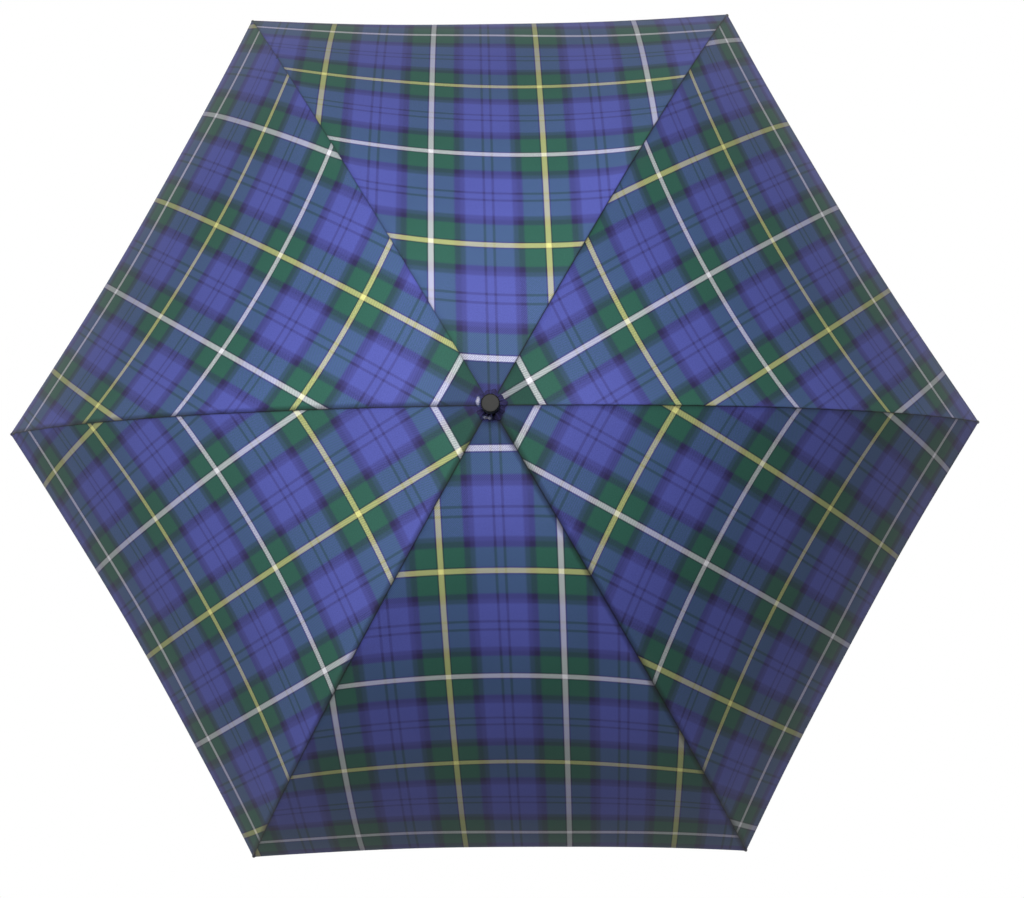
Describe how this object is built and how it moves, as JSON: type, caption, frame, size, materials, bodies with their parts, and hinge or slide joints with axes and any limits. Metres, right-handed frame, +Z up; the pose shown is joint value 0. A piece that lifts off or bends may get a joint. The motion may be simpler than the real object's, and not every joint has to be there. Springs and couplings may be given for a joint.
{
  "type": "stick umbrella",
  "caption": "Open stick umbrella with a tartan canopy, hinged ribs and stretchers, a sliding runner, spring catches, a short top cap and a crook handle.",
  "frame": {"origin": "on the shaft's axis, level with the crook's lowest point", "axes": "+Z up along the shaft towards the top cap, +X along rib 1, and the crook bends towards -Y"},
  "size_m": [0.968, 0.8388, 0.7708],
  "materials": {
    "tartan_cloth": "woven tartan in blue, green and navy with thin white and yellow lines",
    "black_steel": "black lacquer",
    "bright_steel": "plated",
    "brass": "satin",
    "black_plastic": "satin",
    "dark_wood": "varnished",
    "glass_fibre": "satin"
  },
  "bodies": {
    "shaft": {"shaft_tube": "bright_steel", "crook_handle": "dark_wood", "handle_collar": "brass", "handle_end_cap": "brass", "crown_hub": "black_plastic", "crown_pin": "bright_steel", "crown_wire": "bright_steel", "inner_washer": "tartan_cloth", "top_rosette": "tartan_cloth", "top_cap": "black_plastic", "runner_stop_pin": "bright_steel"},
    "rib_1": {"rib_1": "black_steel", "stretcher_rivet_1": "bright_steel", "canopy_gore_1": "tartan_cloth"},
    "rod_1": {"rib_connector_1": "black_steel", "rib_rod_1": "glass_fibre", "rib_tip_1": "black_plastic"},
    "stretcher_1": {"stretcher_1": "black_steel"},
    "rib_2": {"rib_2": "black_steel", "stretcher_rivet_2": "bright_steel", "canopy_gore_2": "tartan_cloth"},
    "rod_2": {"rib_connector_2": "black_steel", "rib_rod_2": "glass_fibre", "rib_tip_2": "black_plastic"},
    "stretcher_2": {"stretcher_2": "black_steel"},
    "rib_3": {"rib_3": "black_steel", "stretcher_rivet_3": "bright_steel", "canopy_gore_3": "tartan_cloth"},
    "rod_3": {"rib_connector_3": "black_steel", "rib_rod_3": "glass_fibre", "rib_tip_3": "black_plastic"},
    "stretcher_3": {"stretcher_3": "black_steel"},
    "rib_4": {"rib_4": "black_steel", "stretcher_rivet_4": "bright_steel", "canopy_gore_4": "tartan_cloth"},
    "rod_4": {"rib_connector_4": "black_steel", "rib_rod_4": "glass_fibre", "rib_tip_4": "black_plastic"},
    "stretcher_4": {"stretcher_4": "black_steel"},
    "rib_5": {"rib_5": "black_steel", "stretcher_rivet_5": "bright_steel", "canopy_gore_5": "tartan_cloth", "tie_strap": "tartan_cloth", "strap_snap": "brass"},
    "rod_5": {"rib_connector_5": "black_steel", "rib_rod_5": "glass_fibre", "rib_tip_5": "black_plastic"},
    "stretcher_5": {"stretcher_5": "black_steel"},
    "rib_6": {"rib_6": "black_steel", "stretcher_rivet_6": "bright_steel", "canopy_gore_6": "tartan_cloth"},
    "rod_6": {"rib_connector_6": "black_steel", "rib_rod_6": "glass_fibre", "rib_tip_6": "black_plastic"},
    "stretcher_6": {"stretcher_6": "black_steel"},
    "runner": {"runner": "black_plastic", "runner_wire": "bright_steel"},
    "top_catch": {"top_catch": "bright_steel"},
    "bottom_catch": {"bottom_catch": "bright_steel"}
  },
  "joints": [
    {"name": "fold", "type": "hinge", "parent": "shaft", "child": "rib_1", "pos_m": [0.01, 0, 0.745], "axis": [0, 1, 0], "range_deg": [0, 76.5], "deforming": ["canopy_gore_1", "canopy_gore_2", "canopy_gore_3", "canopy_gore_4", "canopy_gore_5", "canopy_gore_6", "tie_strap", "top_catch", "bottom_catch"]},
    {"name": "rib_2_fold", "type": "hinge", "parent": "shaft", "child": "rib_2", "pos_m": [0.005, 0.00866, 0.745], "axis": [-0.866, 0.5, 0], "range_deg": [0, 76.5]},
    {"name": "rib_3_fold", "type": "hinge", "parent": "shaft", "child": "rib_3", "pos_m": [-0.005, 0.00866, 0.745], "axis": [-0.866, -0.5, 0], "range_deg": [0, 76.5]},
    {"name": "rib_4_fold", "type": "hinge", "parent": "shaft", "child": "rib_4", "pos_m": [-0.01, 0, 0.745], "axis": [0, -1, 0], "range_deg": [0, 76.5]},
    {"name": "rib_5_fold", "type": "hinge", "parent": "shaft", "child": "rib_5", "pos_m": [-0.005, -0.00866, 0.745], "axis": [0.866, -0.5, 0], "range_deg": [0, 76.5]},
    {"name": "rib_6_fold", "type": "hinge", "parent": "shaft", "child": "rib_6", "pos_m": [0.005, -0.00866, 0.745], "axis": [0.866, 0.5, 0], "range_deg": [0, 76.5]},
    {"name": "rod_1_flex", "type": "hinge", "parent": "rib_1", "child": "rod_1", "pos_m": [0.24019, 0, 0.69767], "axis": [0, 1, 0], "range_deg": [-25.5, 0]},
    {"name": "stretcher_1_pivot", "type": "hinge", "parent": "rib_1", "child": "stretcher_1", "pos_m": [0.24019, 0, 0.69767], "axis": [0, 1, 0], "range_deg": [-153, 0]},
    {"name": "rod_2_flex", "type": "hinge", "parent": "rib_2", "child": "rod_2", "pos_m": [0.12009, 0.20801, 0.69767], "axis": [-0.866, 0.5, 0], "range_deg": [-25.5, 0]},
    {"name": "stretcher_2_pivot", "type": "hinge", "parent": "rib_2", "child": "stretcher_2", "pos_m": [0.12009, 0.20801, 0.69767], "axis": [-0.866, 0.5, 0], "range_deg": [-153, 0]},
    {"name": "rod_3_flex", "type": "hinge", "parent": "rib_3", "child": "rod_3", "pos_m": [-0.12009, 0.20801, 0.69767], "axis": [-0.866, -0.5, 0], "range_deg": [-25.5, 0]},
    {"name": "stretcher_3_pivot", "type": "hinge", "parent": "rib_3", "child": "stretcher_3", "pos_m": [-0.12009, 0.20801, 0.69767], "axis": [-0.866, -0.5, 0], "range_deg": [-153, 0]},
    {"name": "rod_4_flex", "type": "hinge", "parent": "rib_4", "child": "rod_4", "pos_m": [-0.24019, 0, 0.69767], "axis": [0, -1, 0], "range_deg": [-25.5, 0]},
    {"name": "stretcher_4_pivot", "type": "hinge", "parent": "rib_4", "child": "stretcher_4", "pos_m": [-0.24019, 0, 0.69767], "axis": [0, -1, 0], "range_deg": [-153, 0]},
    {"name": "rod_5_flex", "type": "hinge", "parent": "rib_5", "child": "rod_5", "pos_m": [-0.12009, -0.20801, 0.69767], "axis": [0.866, -0.5, 0], "range_deg": [-25.5, 0]},
    {"name": "stretcher_5_pivot", "type": "hinge", "parent": "rib_5", "child": "stretcher_5", "pos_m": [-0.12009, -0.20801, 0.69767], "axis": [0.866, -0.5, 0], "range_deg": [-153, 0]},
    {"name": "rod_6_flex", "type": "hinge", "parent": "rib_6", "child": "rod_6", "pos_m": [0.12009, -0.20801, 0.69767], "axis": [0.866, 0.5, 0], "range_deg": [-25.5, 0]},
    {"name": "stretcher_6_pivot", "type": "hinge", "parent": "rib_6", "child": "stretcher_6", "pos_m": [0.12009, -0.20801, 0.69767], "axis": [0.866, 0.5, 0], "range_deg": [-153, 0]},
    {"name": "runner_travel", "type": "hinge", "parent": "stretcher_1", "child": "runner", "pos_m": [0.01, 0, 0.65034], "axis": [0, 1, 0], "range_deg": [0, 76.5]},
    {"name": "top_catch_press", "type": "hinge", "parent": "shaft", "child": "top_catch", "pos_m": [0, -0.0038, 0.56494], "axis": [-1, 0, 0], "range_deg": [0, 4.6], "stiffness_Nm_per_rad": 0.5, "springref_deg": -17.19},
    {"name": "bottom_catch_press", "type": "hinge", "parent": "shaft", "child": "bottom_catch", "pos_m": [0, -0.0038, 0.20975], "axis": [-1, 0, 0], "range_deg": [0, 4.6], "stiffness_Nm_per_rad": 0.5, "springref_deg": -17.19}
  ],
  "couplings": [
    {"joint": "rib_2_fold", "follows": "fold", "ratio": 1},
    {"joint": "rib_3_fold", "follows": "fold", "ratio": 1},
    {"joint": "rib_4_fold", "follows": "fold", "ratio": 1},
    {"joint": "rib_5_fold", "follows": "fold", "ratio": 1},
    {"joint": "rib_6_fold", "follows": "fold", "ratio": 1},
    {"joint": "rod_1_flex", "follows": "fold", "ratio": -0.33333},
    {"joint": "stretcher_1_pivot", "follows": "fold", "ratio": -2},
    {"joint": "rod_2_flex", "follows": "fold", "ratio": -0.33333},
    {"joint": "stretcher_2_pivot", "follows": "fold", "ratio": -2},
    {"joint": "rod_3_flex", "follows": "fold", "ratio": -0.33333},
    {"joint": "stretcher_3_pivot", "follows": "fold", "ratio": -2},
    {"joint": "rod_4_flex", "follows": "fold", "ratio": -0.33333},
    {"joint": "stretcher_4_pivot", "follows": "fold", "ratio": -2},
    {"joint": "rod_5_flex", "follows": "fold", "ratio": -0.33333},
    {"joint": "stretcher_5_pivot", "follows": "fold", "ratio": -2},
    {"joint": "rod_6_flex", "follows": "fold", "ratio": -0.33333},
    {"joint": "stretcher_6_pivot", "follows": "fold", "ratio": -2},
    {"joint": "runner_travel", "follows": "fold", "ratio": 1}
  ]
}
